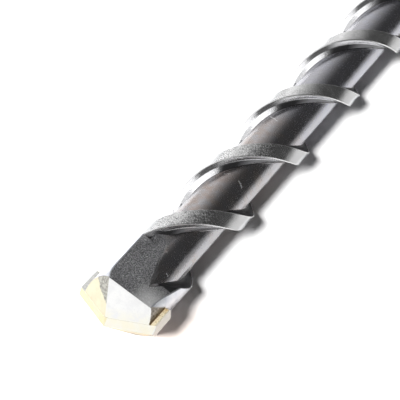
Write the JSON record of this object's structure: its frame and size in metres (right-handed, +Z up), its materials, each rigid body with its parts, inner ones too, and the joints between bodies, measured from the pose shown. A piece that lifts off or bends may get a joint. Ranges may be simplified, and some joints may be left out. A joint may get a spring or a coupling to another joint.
{
  "type": "hammer drill bit",
  "caption": "Masonry hammer drill bit: slotted steel shank, helical ribbed body with a wide flute, and a brazed carbide cutting plate across the roof-shaped point.",
  "frame": {"origin": "straight below the middle of the bit's length, at the level of its lowest rib; a bit has no rest of its own, as it rolls, so it is held by its shank", "axes": "+Y along the bit from the point to the end of the shank, +Z up with the cutting plate level, +X across the plate"},
  "size_m": [0.0248, 0.34, 0.0212],
  "materials": {
    "steel": "ground ribs and shank, drawn flute floor, shot blasted head",
    "carbide": "ground cutting faces with a straw tint from brazing",
    "braze": "as brazed"
  },
  "bodies": {
    "root": {"steel_body": "steel", "carbide_plate": "carbide", "braze_seam": "braze"}
  },
  "joints": []
}
